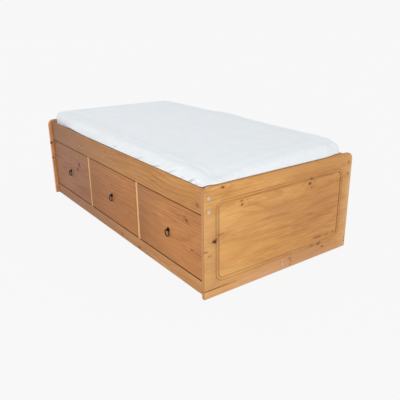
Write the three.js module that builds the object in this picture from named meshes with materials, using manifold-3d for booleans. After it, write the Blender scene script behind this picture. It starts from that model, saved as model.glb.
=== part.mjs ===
// Single cabin bed in waxed solid pine: two end panels with a routed frame, long rails between
// them, three drawers side by side under the front rail, a slatted base and a mattress.
// Millimetres. +X runs from the head to the foot, -Y is the drawer side and +Z is up.
// The origin is on the floor under the middle of the bed.

import * as THREE from "three";
import { mergeVertices } from "three/addons/utils/BufferGeometryUtils.js";
import Module from "manifold-3d";

// End panels
const bed_length = 1960;
const bed_width = 1008;
const panel_height = 562;
const panel_thickness = 20;
const panel_corner_radius = 40;
const panel_edge_radius = 5;

// Routed frame on each end panel's outer face: a bead between two grooves
const frame_inset = 69;
const frame_bottom = 72;
const frame_top_inset = 74;
const frame_corner_radius = 43;
const groove_width = 8;
const groove_depth = 3.2;
const bead_width = 6;
const bead_drop = 0.7;

// Rails and plinth
const rail_setback = 19;
const rail_thickness = 20;
const rail_top_drop = 14;
const top_rail_height = 131;
const floor_clearance = 4;
const bottom_rail_height = 73;
const back_rail_inset = 2;
const board_edge_radius = 4;

// Dividers between the drawers
const drawer_count = 3;
const divider_thickness = 20;
const divider_edge_radius = 2.5;

// Drawers
const front_thickness = 20;
const front_edge_radius = 3;
const front_side_gap = 1.5;
const front_top_gap = 2.5;
const front_bottom_gap = 4;
const drawer_back_gap = 14.7;
const side_height = 220;
const side_thickness = 15;
const side_edge_radius = 3;
const side_lift = 12;
const side_clearance = 6;
const back_thickness = 12;
const back_drop = 12;
const bottom_thickness = 5;
const bottom_lift = 12;
const bottom_groove_depth = 5;

// Drawer runners, which the grooved drawer sides hang on
const runner_height = 19;
const runner_lift = 92;
const runner_engagement = 6.4;
const runner_groove_depth = 7;
const runner_end_gap = 4;
const running_gap = 1;

// Ring pulls of black iron: a rose with a screw eye, and a ring that hangs in the eye
const rose_radius = 12.5;
const rose_thickness = 1.2;
const rose_dome = 1.6;
const eye_radius = 6;
const eye_reach = 9.5;
const neck_radius = 3.4;
const eye_hole_radius = 3.3;
const screw_radius = 2;
const screw_length = 16;
const ring_radius = 17.8;
const ring_wire_radius = 2.5;

// Connector bolts with flat heads, through the end panels into the rails
const bolt_head_radius = 8.5;
const bolt_head_height = 2.6;
const bolt_head_chamfer = 0.7;
const bolt_shank_radius = 3;
const bolt_length = 62;
const bolt_socket_radius = 2.6;
const bolt_socket_depth = 1.8;
const top_bolt_drop = 38;
const top_bolt_spacing = 65;
const bottom_bolt_lift = 33;

// Slatted base
const bearer_height = 25;
const bearer_thickness = 22;
const bearer_lift = 2;
const slat_count = 11;
const slat_width = 90;
const slat_thickness = 18;
const slat_edge_radius = 3;
const slat_end_gap = 24;
const slat_side_gap = 3;

// Mattress
const mattress_end_gap = 10;
const mattress_side_gap = 15;
const mattress_edge_height = 136;
const mattress_crown = 32;
const mattress_top_radius = 34;
const mattress_bottom_radius = 22;
const mattress_corner_radius = 70;
const mattress_draw_in = 5;

// Small gap left between pieces that bear on each other, and round a bolt in its hole
const seat_gap = 0.3;

// How finely the curves are cut
const corner_steps = 6;
const edge_steps = 3;
const fine_arc = 2;
const plain_arc = 1;
const round_sides = 16;
const hole_sides = 12;
const ring_steps = 28;
const wire_sides = 8;

// Places worked out from the sizes above
const inner_length = bed_length - 2 * panel_thickness;
const panel_centre_x = (bed_length - panel_thickness) / 2;
const front_plane = rail_setback - bed_width / 2;
const rail_centre_y = bed_width / 2 - rail_setback - rail_thickness / 2;
const rail_inner_y = rail_centre_y - rail_thickness / 2;
const back_rail_y = bed_width / 2 - back_rail_inset - rail_thickness / 2;
const rail_length = inner_length - 2 * seat_gap;
const rail_top = panel_height - rail_top_drop;
const rail_bottom = rail_top - top_rail_height;
const top_rail_z = (rail_top + rail_bottom) / 2;
const bottom_rail_z = floor_clearance + bottom_rail_height / 2;
const opening_bottom = floor_clearance + bottom_rail_height;
const opening_height = rail_bottom - opening_bottom;
const opening_width = (inner_length - (drawer_count - 1) * divider_thickness) / drawer_count;
const drawer_pitch = opening_width + divider_thickness;
const bolt_hole_radius = bolt_shank_radius + seat_gap;
const bearer_bottom = rail_bottom + bearer_lift;
const slat_bottom = bearer_bottom + bearer_height + seat_gap;
const slat_top = slat_bottom + slat_thickness;

const wasm = await Module();
wasm.setup();

// Finishes: honey-brown waxed pine, paler bare pine inside, black iron, zinc and white cotton
const waxed_pine = new THREE.MeshStandardMaterial({ color: 0xc68e5a, roughness: 0.55 });
const front_pine = new THREE.MeshStandardMaterial({ color: 0xb4804f, roughness: 0.55 });
const bare_pine = new THREE.MeshStandardMaterial({ color: 0xdcbd8e, roughness: 0.7 });
const black_iron = new THREE.MeshStandardMaterial({ color: 0x1d1916, roughness: 0.5, metalness: 0.8 });
const zinc = new THREE.MeshStandardMaterial({ color: 0xb9b6ac, roughness: 0.35, metalness: 1 });
const white_cotton = new THREE.MeshStandardMaterial({ color: 0xe6e9ee, roughness: 0.9 });

// A view says which way a drawn outline faces: its two drawing axes, then the way it is extruded.
const along_x = [new THREE.Vector3(0, 1, 0), new THREE.Vector3(0, 0, 1), new THREE.Vector3(1, 0, 0)];
const along_y = [new THREE.Vector3(1, 0, 0), new THREE.Vector3(0, 0, 1), new THREE.Vector3(0, -1, 0)];
const along_z = [new THREE.Vector3(1, 0, 0), new THREE.Vector3(0, 1, 0), new THREE.Vector3(0, 0, 1)];

function piece(name, geometry, material, x = 0, y = 0, z = 0) {
  const mesh = new THREE.Mesh(geometry, material);
  mesh.name = name;
  mesh.position.set(x, y, z);
  return mesh;
}

// An outline extruded about its own middle; softening rounds both of its end faces' edges.
function extruded(outline, length, view, arc_steps, softening = 0) {
  const geometry = new THREE.ExtrudeGeometry(outline, {
    depth: length - 2 * softening,
    curveSegments: arc_steps,
    bevelEnabled: softening > 0,
    bevelThickness: softening,
    bevelSize: softening,
    bevelOffset: -softening,
    bevelSegments: edge_steps,
  });
  geometry.translate(0, 0, softening - length / 2);
  geometry.applyMatrix4(new THREE.Matrix4().makeBasis(...view));
  return geometry;
}

function roundedRectangle(width, height, radius) {
  const x = width / 2 - radius;
  const y = height / 2 - radius;
  const shape = new THREE.Shape();
  shape.absarc(x, y, radius, 0, Math.PI / 2);
  shape.absarc(-x, y, radius, Math.PI / 2, Math.PI);
  shape.absarc(-x, -y, radius, Math.PI, 1.5 * Math.PI);
  shape.absarc(x, -y, radius, 1.5 * Math.PI, 2 * Math.PI);
  return shape;
}

function polygon(points) {
  return new THREE.Shape(points.map(([x, y]) => new THREE.Vector2(x, y)));
}

function rod(radius, length, sides) {
  return new THREE.CylinderGeometry(radius, radius, length, sides).rotateZ(Math.PI / 2);
}

function solid(geometry) {
  const open = geometry.index ? geometry.toNonIndexed() : geometry.clone();
  open.deleteAttribute("normal");
  open.deleteAttribute("uv");
  const merged = mergeVertices(open, 1e-4);
  const mesh = new wasm.Mesh({
    numProp: 3,
    vertProperties: merged.attributes.position.array,
    triVerts: new Uint32Array(merged.index.array),
  });
  return new wasm.Manifold(mesh);
}

function surface(manifold) {
  const mesh = manifold.getMesh();
  const geometry = new THREE.BufferGeometry();
  geometry.setAttribute("position", new THREE.BufferAttribute(mesh.vertProperties, 3));
  geometry.setIndex(new THREE.BufferAttribute(mesh.triVerts, 1));
  geometry.computeVertexNormals();
  return geometry;
}

// The body with every tool cut out of it
function cut(body, tools) {
  return surface(tools.reduce((rest, tool) => rest.subtract(solid(tool)), solid(body)));
}

// A closed bar whose section is carried round a rounded rectangle drawn in Y and Z. Each point
// of the section stands its own distance outside the rectangle and above the face it lies on.
function sweptFrame(half_width, half_height, radius, section) {
  const corners = [[1, 1], [-1, 1], [-1, -1], [1, -1]];
  const positions = [];
  corners.forEach(([side, rise], corner) => {
    for (let step = 0; step <= corner_steps; step++) {
      const angle = ((corner + step / corner_steps) * Math.PI) / 2;
      for (const [outside, above] of section) {
        const y = side * (half_width - radius) + (radius + outside) * Math.cos(angle);
        const z = rise * (half_height - radius) + (radius + outside) * Math.sin(angle);
        positions.push(above, y, z);
      }
    }
  });
  return gridSurface(positions, corners.length * (corner_steps + 1), section.length, true);
}

// Triangles over a grid of points that closes on itself across its columns, and down its rows
// where it is a ring; otherwise its first and last rows are drawn together to a point.
function gridSurface(positions, rows, columns, ring) {
  const index = [];
  for (let row = 0; row < (ring ? rows : rows - 1); row++) {
    for (let column = 0; column < columns; column++) {
      const across = (column + 1) % columns;
      const a = row * columns + column;
      const b = ((row + 1) % rows) * columns + column;
      const c = ((row + 1) % rows) * columns + across;
      const d = row * columns + across;
      index.push(a, b, c, a, c, d);
    }
  }
  const geometry = new THREE.BufferGeometry();
  geometry.setAttribute("position", new THREE.Float32BufferAttribute(positions, 3));
  geometry.setIndex(index);
  return geometry;
}

// Where the bolts pass through an end panel: two into each top rail and one into the centre rail
function boltPlaces() {
  const upper = rail_top - top_bolt_drop;
  const lower = upper - top_bolt_spacing;
  return {
    front_upper: [-rail_centre_y, upper],
    front_lower: [-rail_centre_y, lower],
    back_upper: [rail_centre_y, upper],
    back_lower: [rail_centre_y, lower],
    centre: [0, floor_clearance + bottom_bolt_lift],
  };
}

function endPanelOutline() {
  const half = bed_width / 2;
  const shoulder = panel_height - panel_corner_radius;
  const shape = new THREE.Shape();
  shape.moveTo(-half, 0);
  shape.lineTo(half, 0);
  shape.absarc(half - panel_corner_radius, shoulder, panel_corner_radius, 0, Math.PI / 2);
  shape.absarc(panel_corner_radius - half, shoulder, panel_corner_radius, Math.PI / 2, Math.PI);
  return shape;
}

// The routed section, from its inner lip to its outer one: a groove, the bead and a groove
function routedSection() {
  const lip = 1;
  const wall = groove_depth;
  const inner = 2 * groove_width + bead_width;
  const bead_start = groove_width;
  const bead_end = groove_width + bead_width;
  return [
    [-(inner + lip), lip],
    [-(inner - wall), -groove_depth],
    [-(bead_end + 1), -groove_depth],
    [-(bead_end - 1), -bead_drop],
    [-(bead_start + 1), -bead_drop],
    [-(bead_start - 1), -groove_depth],
    [-wall, -groove_depth],
    [lip, lip],
  ];
}

// One pattern serves both ends: the foot panel's outer face looks along +X.
function endPanel() {
  const board = extruded(endPanelOutline(), panel_thickness, along_x, corner_steps, panel_edge_radius);
  const frame_top = panel_height - frame_top_inset;
  const half_width = bed_width / 2 - frame_inset;
  const half_height = (frame_top - frame_bottom) / 2;
  const groove = sweptFrame(half_width, half_height, frame_corner_radius, routedSection());
  groove.translate(panel_thickness / 2, 0, (frame_top + frame_bottom) / 2);
  const holes = Object.values(boltPlaces()).map(([y, z]) =>
    rod(bolt_hole_radius, 2 * panel_thickness, hole_sides).translate(0, y, z)
  );
  return cut(board, [groove, ...holes]);
}

// A flat round head with a hexagon socket, and a shank that points back along -X
function connectorBolt() {
  const profile = [
    [0, -bolt_length],
    [bolt_shank_radius - 1, -bolt_length],
    [bolt_shank_radius, 1 - bolt_length],
    [bolt_shank_radius, 0],
    [bolt_head_radius, 0],
    [bolt_head_radius, bolt_head_height - bolt_head_chamfer],
    [bolt_head_radius - bolt_head_chamfer, bolt_head_height],
    [0, bolt_head_height],
  ];
  const points = profile.map(([radius, height]) => new THREE.Vector2(radius, height));
  const body = new THREE.LatheGeometry(points, round_sides).rotateZ(-Math.PI / 2);
  const socket = rod(bolt_socket_radius, 2 * bolt_socket_depth, 6).translate(bolt_head_height, 0, 0);
  return cut(body, [socket]);
}

// The two ends: a panel each, and the bolts that hold it to the rails
function endAssembly(name, turn) {
  const end = new THREE.Group();
  end.add(piece(name + "_panel", endPanel(), waxed_pine, panel_centre_x));
  for (const [place, [y, z]] of Object.entries(boltPlaces())) {
    const bolt = piece(name + "_bolt_" + place, connectorBolt(), zinc, bed_length / 2 + seat_gap, y, z);
    end.add(bolt);
  }
  end.rotation.z = turn;
  return end;
}

// A board that runs the length of the bed, bored at both ends for the bolts at the given heights
function longBoard(height, thickness, length, bolt_heights) {
  const outline = roundedRectangle(thickness, height, board_edge_radius);
  const board = extruded(outline, length, along_x, fine_arc);
  const bore_length = 2 * (bolt_length - panel_thickness + seat_gap);
  const bores = [-1, 1].flatMap((end) =>
    bolt_heights.map((z) =>
      rod(bolt_hole_radius, bore_length, hole_sides).translate((end * length) / 2, 0, z)
    )
  );
  return bores.length ? cut(board, bores) : board;
}

function rails() {
  const group = new THREE.Group();
  const places = boltPlaces();
  const top_bolts = [places.front_upper[1] - top_rail_z, places.front_lower[1] - top_rail_z];
  const top_rail = longBoard(top_rail_height, rail_thickness, rail_length, top_bolts);
  const plinth = longBoard(bottom_rail_height, rail_thickness, rail_length, []);
  const centre = longBoard(
    bottom_rail_height, rail_thickness, rail_length, [places.centre[1] - bottom_rail_z]
  );
  group.add(piece("front_top_rail", top_rail, front_pine, 0, -rail_centre_y, top_rail_z));
  group.add(piece("back_top_rail", top_rail, waxed_pine, 0, rail_centre_y, top_rail_z));
  group.add(piece("front_plinth", plinth, front_pine, 0, -rail_centre_y, bottom_rail_z));
  group.add(piece("back_bottom_rail", plinth, waxed_pine, 0, back_rail_y, bottom_rail_z));
  group.add(piece("centre_bottom_rail", centre, bare_pine, 0, 0, bottom_rail_z));
  return group;
}

// Upright boards that stand on the plinth and the centre rail and part the drawers
function dividers() {
  const group = new THREE.Group();
  const back_edge = rail_thickness / 2;
  const depth = back_edge - front_plane;
  const height = opening_height - 2 * seat_gap;
  const outline = roundedRectangle(divider_thickness, depth, divider_edge_radius);
  const board = extruded(outline, height, along_z, fine_arc);
  for (let number = 1; number < drawer_count; number++) {
    const x = (number - drawer_count / 2) * drawer_pitch;
    const y = (front_plane + back_edge) / 2;
    const z = opening_bottom + opening_height / 2;
    group.add(piece("divider_" + number, board, waxed_pine, x, y, z));
  }
  return group;
}

// The groove in a drawer's side rests on its runner's top face and clears it below.
const runner_z = opening_bottom + side_lift + runner_lift;
const runner_front = front_plane + front_thickness + runner_end_gap;
const runner_back = -rail_thickness / 2 - runner_end_gap;

function runner(name, x) {
  const thickness = side_clearance + runner_engagement - seat_gap;
  const outline = roundedRectangle(thickness, runner_height, thickness / 8);
  const bar = extruded(outline, runner_back - runner_front, along_y, plain_arc);
  return piece(name, bar, bare_pine, x, (runner_front + runner_back) / 2, runner_z);
}

function runnerPair(number, centre_x) {
  const group = new THREE.Group();
  const middle = opening_width / 2 - seat_gap - (side_clearance + runner_engagement - seat_gap) / 2;
  group.add(runner("runner_" + number + "_left", centre_x - middle));
  group.add(runner("runner_" + number + "_right", centre_x + middle));
  return group;
}

// Drawer pieces are placed from the middle of the opening's sill, on the front plane.
const front_height = opening_height - front_top_gap - front_bottom_gap;
const front_width = opening_width - 2 * front_side_gap;
const front_z = front_bottom_gap + front_height / 2;
const box_width = opening_width - 2 * side_clearance;
const box_inner_width = box_width - 2 * side_thickness;
const box_front_y = front_thickness + seat_gap;
const box_depth = -rail_thickness / 2 - drawer_back_gap - (front_plane + box_front_y);
const bottom_z = side_lift + bottom_lift;

function drawerFront() {
  const half_width = front_width / 2;
  const half_height = front_height / 2;
  const outline = polygon([
    [-half_width, -half_height],
    [half_width, -half_height],
    [half_width, half_height],
    [-half_width, half_height],
  ]);
  const board = extruded(outline, front_thickness, along_y, plain_arc, front_edge_radius);
  const groove = new THREE.BoxGeometry(
    box_inner_width + 2 * bottom_groove_depth,
    2 * bottom_groove_depth,
    bottom_thickness + 2 * seat_gap
  );
  groove.translate(0, front_thickness / 2, bottom_z + bottom_thickness / 2 - front_z);
  const screw_hole = rod(screw_radius + seat_gap, 2 * (screw_length + seat_gap), hole_sides);
  screw_hole.rotateZ(Math.PI / 2).translate(0, -front_thickness / 2, 0);
  return cut(board, [groove, screw_hole]);
}

// A side's section from outside to inside: the runner's groove is cut in its outer face and the
// bottom board's groove in its inner face, and its top edge is rounded.
function sideSection() {
  const runner_top = runner_lift + runner_height / 2 + seat_gap;
  const runner_foot = runner_lift - runner_height / 2 - running_gap;
  const slot_bottom = bottom_lift - seat_gap;
  const slot_top = bottom_lift + bottom_thickness + seat_gap;
  const slot_wall = side_thickness - bottom_groove_depth;
  const shape = new THREE.Shape();
  shape.moveTo(0, 0);
  shape.lineTo(side_thickness, 0);
  shape.lineTo(side_thickness, slot_bottom);
  shape.lineTo(slot_wall, slot_bottom);
  shape.lineTo(slot_wall, slot_top);
  shape.lineTo(side_thickness, slot_top);
  const round_z = side_height - side_edge_radius;
  shape.absarc(side_thickness - side_edge_radius, round_z, side_edge_radius, 0, Math.PI / 2);
  shape.absarc(side_edge_radius, round_z, side_edge_radius, Math.PI / 2, Math.PI);
  shape.lineTo(0, runner_top);
  shape.lineTo(runner_groove_depth, runner_top);
  shape.lineTo(runner_groove_depth, runner_foot);
  shape.lineTo(0, runner_foot);
  return shape;
}

function drawerBoard(width, depth, height, radius) {
  return extruded(roundedRectangle(width, height, radius), depth, along_y, plain_arc);
}

// A rose that lies on the drawer front, a neck and a ball turned in one, with a screw behind it
function screwEye() {
  const ball_from = Math.asin(neck_radius / eye_radius);
  const profile = [
    [0, -screw_length],
    [screw_radius, 3 * screw_radius - screw_length],
    [screw_radius, seat_gap],
    [rose_radius, seat_gap],
    [rose_radius, seat_gap + rose_thickness],
    [rose_radius * 0.72, seat_gap + rose_thickness + rose_dome / 2],
    [rose_radius * 0.44, seat_gap + rose_thickness + rose_dome],
  ];
  const points = profile.map(([radius, reach]) => new THREE.Vector2(radius, reach));
  const ball_steps = 6;
  for (let step = 0; step <= ball_steps; step++) {
    const angle = ball_from + ((Math.PI - ball_from) * step) / ball_steps;
    points.push(new THREE.Vector2(eye_radius * Math.sin(angle), eye_reach - eye_radius * Math.cos(angle)));
  }
  points[points.length - 1].x = 0;
  const body = new THREE.LatheGeometry(points, round_sides).rotateX(Math.PI);
  const hole = rod(eye_hole_radius, 3 * eye_radius, hole_sides).translate(0, -eye_reach, 0);
  return cut(body, [hole]);
}

// The ring's wire bends away inside the straight hole of the eye by this much at the hole's
// mouths, so the ring hangs half of it high.
const wire_bend = ring_radius - Math.sqrt(ring_radius ** 2 - (eye_radius * 0.9) ** 2);

function pullRing() {
  const ring = new THREE.TorusGeometry(ring_radius, ring_wire_radius, wire_sides, ring_steps);
  return ring.rotateX(Math.PI / 2).translate(0, 0, wire_bend / 2 - ring_radius);
}

function drawer(number, centre_x) {
  const group = new THREE.Group();
  const name = "drawer_" + number + "_";
  const middle_y = box_front_y + box_depth / 2;
  const side = extruded(sideSection(), box_depth, along_y, fine_arc);
  const side_x = box_width / 2;
  group.add(piece(name + "front", drawerFront(), front_pine, 0, front_thickness / 2, front_z));
  const left = piece(name + "left_side", side, bare_pine, -side_x, middle_y, side_lift);
  const right = piece(name + "right_side", side, bare_pine, side_x, middle_y, side_lift);
  right.rotation.z = Math.PI;
  group.add(left, right);
  const back_bottom = bottom_z + bottom_thickness + seat_gap;
  const back_height = side_lift + side_height - back_drop - back_bottom;
  const back = drawerBoard(box_inner_width - 2 * seat_gap, back_thickness, back_height, side_edge_radius);
  const back_y = box_front_y + box_depth - back_thickness / 2;
  group.add(piece(name + "back", back, bare_pine, 0, back_y, back_bottom + back_height / 2));
  const tongue = bottom_groove_depth - seat_gap;
  const bottom_front = front_thickness - tongue;
  const bottom_depth = box_front_y + box_depth - bottom_front;
  const bottom = new THREE.BoxGeometry(box_inner_width + 2 * tongue, bottom_depth, bottom_thickness);
  const bottom_y = bottom_front + bottom_depth / 2;
  group.add(piece(name + "bottom", bottom, bare_pine, 0, bottom_y, bottom_z + bottom_thickness / 2));
  group.add(piece(name + "screw_eye", screwEye(), black_iron, 0, 0, front_z));
  group.add(piece(name + "pull_ring", pullRing(), black_iron, 0, -eye_reach, front_z));
  group.position.set(centre_x, front_plane, opening_bottom);
  return group;
}

// Bearers along both top rails, and slats laid across them
function slattedBase() {
  const group = new THREE.Group();
  const bearer_outline = roundedRectangle(bearer_thickness, bearer_height, slat_edge_radius);
  const bearer = extruded(bearer_outline, rail_length, along_x, plain_arc);
  const bearer_y = rail_inner_y - seat_gap - bearer_thickness / 2;
  const bearer_z = bearer_bottom + bearer_height / 2;
  group.add(piece("slat_bearer_front", bearer, bare_pine, 0, -bearer_y, bearer_z));
  group.add(piece("slat_bearer_back", bearer, bare_pine, 0, bearer_y, bearer_z));
  const slat_length = 2 * (rail_inner_y - slat_side_gap);
  const slat_outline = roundedRectangle(slat_width, slat_thickness, slat_edge_radius);
  const slat = extruded(slat_outline, slat_length, along_y, plain_arc);
  const first_x = slat_end_gap + slat_width / 2 - inner_length / 2;
  for (let number = 1; number <= slat_count; number++) {
    const x = first_x - (2 * first_x * (number - 1)) / (slat_count - 1);
    const label = String(number).padStart(2, "0");
    group.add(piece("slat_" + label, slat, bare_pine, x, 0, slat_bottom + slat_thickness / 2));
  }
  return group;
}

// The mattress is a crowned block: rounded edges, sides that draw in between the corners, and a
// top that rises from its rim as 1 - t^4 each way, t running from 0 in the middle to 1 at the rim.
function mattress() {
  const half_length = inner_length / 2 - mattress_end_gap;
  const half_width = rail_inner_y - mattress_side_gap;
  const floor_z = slat_top + seat_gap;
  const rim_z = floor_z + mattress_edge_height;
  const rings = [0, 0.2, 0.44, 0.66, 0.82, 0.92, 0.97].map((share) => (
    { share, inset: mattress_top_radius, z: rim_z, crowned: true }
  ));
  const round_steps = 3;
  for (let step = round_steps; step >= 0; step--) {
    const angle = (Math.PI / 2) * (step / round_steps);
    const inset = mattress_top_radius * (1 - Math.cos(angle));
    rings.push({ share: 1, inset, z: rim_z - mattress_top_radius * (1 - Math.sin(angle)) });
  }
  for (let step = round_steps; step >= 0; step--) {
    const angle = (Math.PI / 2) * (step / round_steps);
    const inset = mattress_bottom_radius * (1 - Math.sin(angle));
    rings.push({ share: 1, inset, z: floor_z + mattress_bottom_radius * (1 - Math.cos(angle)) });
  }
  rings.push({ share: 0.5, inset: 0, z: floor_z }, { share: 0, inset: 0, z: floor_z });
  const positions = [];
  const corner_arc = 5;
  const long_steps = 7;
  const outline = mattressOutline(half_length, half_width, corner_arc, long_steps);
  for (const { share, inset, z, crowned } of rings) {
    for (const [x, y] of outline(inset)) {
      const across = Math.abs((share * x) / half_length);
      const down = Math.abs((share * y) / half_width);
      const rise = crowned ? mattress_crown * (1 - across ** 4) * (1 - down ** 4) : 0;
      positions.push(share * x, share * y, z + rise);
    }
  }
  return piece("mattress", gridSurface(positions, rings.length, outline(0).length, false), white_cotton);
}

// The mattress seen from above: long and short sides bowed inwards, and rounded corners
function mattressOutline(half_length, half_width, corner_arc, side_steps) {
  return (inset) => {
    const radius = mattress_corner_radius - inset;
    const a = half_length - mattress_corner_radius;
    const b = half_width - mattress_corner_radius;
    const corners = [[1, -1], [1, 1], [-1, 1], [-1, -1]];
    const points = [];
    corners.forEach(([end, side], corner) => {
      const start = ((corner - 1) * Math.PI) / 2;
      for (let step = 0; step <= corner_arc; step++) {
        const angle = start + (Math.PI / 2) * (step / corner_arc);
        points.push([end * a + radius * Math.cos(angle), side * b + radius * Math.sin(angle)]);
      }
      const next = corners[(corner + 1) % corners.length];
      for (let step = 1; step < side_steps; step++) {
        const run = step / side_steps;
        const draw = mattress_draw_in * Math.sin(Math.PI * run);
        const out = start + Math.PI / 2;
        const x = a * (end + (next[0] - end) * run) + (radius - draw) * Math.cos(out);
        const y = b * (side + (next[1] - side) * run) + (radius - draw) * Math.sin(out);
        points.push([x, y]);
      }
    });
    return points;
  };
}

const bed = new THREE.Group();
bed.add(endAssembly("foot", 0), endAssembly("head", Math.PI));
bed.add(rails(), dividers());
for (let number = 1; number <= drawer_count; number++) {
  const centre_x = (number - (drawer_count + 1) / 2) * drawer_pitch;
  bed.add(runnerPair(number, centre_x), drawer(number, centre_x));
}
bed.add(slattedBase(), mattress());

export default bed;
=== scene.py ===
"""Looks for the cabin bed: waxed pine boards with their grain and knots, routed end panels,
black iron ring pulls, bright bolts and a mattress in a white fitted sheet. All in metres."""

from functools import partial
import bpy
import numpy as np
from mathutils import Matrix, Vector

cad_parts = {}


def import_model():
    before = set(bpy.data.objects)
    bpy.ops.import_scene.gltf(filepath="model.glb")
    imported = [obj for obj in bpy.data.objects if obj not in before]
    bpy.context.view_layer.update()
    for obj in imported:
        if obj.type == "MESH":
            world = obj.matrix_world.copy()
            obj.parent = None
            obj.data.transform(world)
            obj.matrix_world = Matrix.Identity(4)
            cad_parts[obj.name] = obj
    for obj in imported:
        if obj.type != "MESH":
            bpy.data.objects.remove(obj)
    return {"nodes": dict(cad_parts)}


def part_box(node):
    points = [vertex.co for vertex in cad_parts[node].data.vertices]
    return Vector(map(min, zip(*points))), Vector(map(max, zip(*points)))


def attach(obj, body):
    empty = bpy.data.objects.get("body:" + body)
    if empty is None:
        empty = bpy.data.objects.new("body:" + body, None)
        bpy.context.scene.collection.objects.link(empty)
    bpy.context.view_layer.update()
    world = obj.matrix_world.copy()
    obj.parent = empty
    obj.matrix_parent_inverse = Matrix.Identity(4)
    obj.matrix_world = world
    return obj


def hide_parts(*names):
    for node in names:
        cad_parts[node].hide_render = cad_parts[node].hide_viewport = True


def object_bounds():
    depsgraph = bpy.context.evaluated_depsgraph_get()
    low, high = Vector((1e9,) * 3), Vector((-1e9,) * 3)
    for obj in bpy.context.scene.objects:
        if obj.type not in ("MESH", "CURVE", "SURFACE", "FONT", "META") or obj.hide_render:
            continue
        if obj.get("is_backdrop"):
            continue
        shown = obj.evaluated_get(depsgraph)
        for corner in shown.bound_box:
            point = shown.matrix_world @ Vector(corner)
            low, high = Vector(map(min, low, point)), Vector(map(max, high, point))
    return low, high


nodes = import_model()["nodes"]
cad_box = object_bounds()
scene = bpy.context.scene
scene.view_settings.view_transform = "Standard"
MM = 0.001
BEDSTEAD = "bedstead"
DRAWERS = (1, 2, 3)
ENDS = {"head": -1, "foot": 1}


# Colours and nodes

def hue(code):
    """An sRGB hex colour as linear red, green, blue and an alpha of 1."""
    srgb = np.array([int(code[i:i + 2], 16) for i in (0, 2, 4)]) / 255
    linear = np.where(srgb <= 0.04045, srgb / 12.92, ((srgb + 0.055) / 1.055) ** 2.4)
    return (*linear.tolist(), 1.0)


def put(tree, kind, *inputs, out=None, named=None, **settings):
    """Adds one node with its settings, fills its inputs in order or by name with values or links,
    and returns the output asked for, or else its first."""
    node = tree.nodes.new("ShaderNode" + kind)
    for name, value in settings.items():
        setattr(node, name, value)
    pairs = list(zip([socket for socket in node.inputs if socket.enabled], inputs))
    pairs += [(node.inputs[name], value) for name, value in (named or {}).items()]
    for socket, value in pairs:
        if isinstance(value, bpy.types.NodeSocket):
            tree.links.new(value, socket)
        else:
            socket.default_value = value
    if out:
        return node.outputs[out]
    return next((socket for socket in node.outputs if socket.enabled), None)


def empty_tree(owner):
    """The node tree of a material or a world, with nothing in it."""
    owner.use_nodes = True
    owner.node_tree.nodes.clear()
    return owner.node_tree


def new_material(name):
    """An empty material, and the function that adds nodes to it."""
    material = bpy.data.materials.new(name)
    return material, partial(put, empty_tree(material))


def set_stops(ramp, stops):
    """Sets the stops of the Color Ramp behind an output from (position, colour) pairs."""
    elements = ramp.node.color_ramp.elements
    while len(elements) < len(stops):
        elements.new(0.5)
    for element, (position, colour) in zip(elements, stops):
        element.position = position
        element.color = hue(colour)
    return ramp


def add_shader(add, colour, shade_and_dirt, relief, named):
    """Ends a material with its Principled shader. Each point's colour turns towards the dark colour by the
    mark on the mesh: wax in the moulding's hollows and across its upright runs, darker rounded rims on the
    end panels, and painted shade in gaps, in the sheet's folds, in the bolts' sockets and on walls that face
    away from the light. relief is (height, strength, depth)."""
    shade_and_grime = add("Attribute", out="Fac", attribute_name="shade_and_grime")
    colour = add("Mix", shade_and_grime, colour, hue(shade_and_dirt), data_type="RGBA")
    bump = add("Bump", named=dict(zip(("Height", "Strength", "Distance"), relief)))
    add("OutputMaterial", add("BsdfPrincipled", named={"Base Color": colour, "Normal": bump, **named}))


# Waxed pine

SMOOTH = {"interpolation_type": "SMOOTHSTEP"}
RING_GAP = 7 * MM
# The wood's noises: how often each turns in a metre along the grain and across it, and its detail
WOOD_NOISES = {
    "bend": (1.7, 4, 1), "drift": (2.4, 14, 1), "streak": (5, 120, 3), "fibre": (16, 300, 2),
    "rag": (60, 110, 2),
}
# Old wax in the moulding and painted shade in gaps and on shaded walls, the line at a glued seam, the stain
# round a knot and the knot from its middle out
WAX_AND_SHADE, SEAM_LINE, KNOT_STAIN = "5E3112", "7A4A26", "A05A2A"
KNOT_HEART = [(0.0, "78401E"), (0.5, "5C2A11"), (0.8, "461E0C"), (1.0, "6E381C")]


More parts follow.
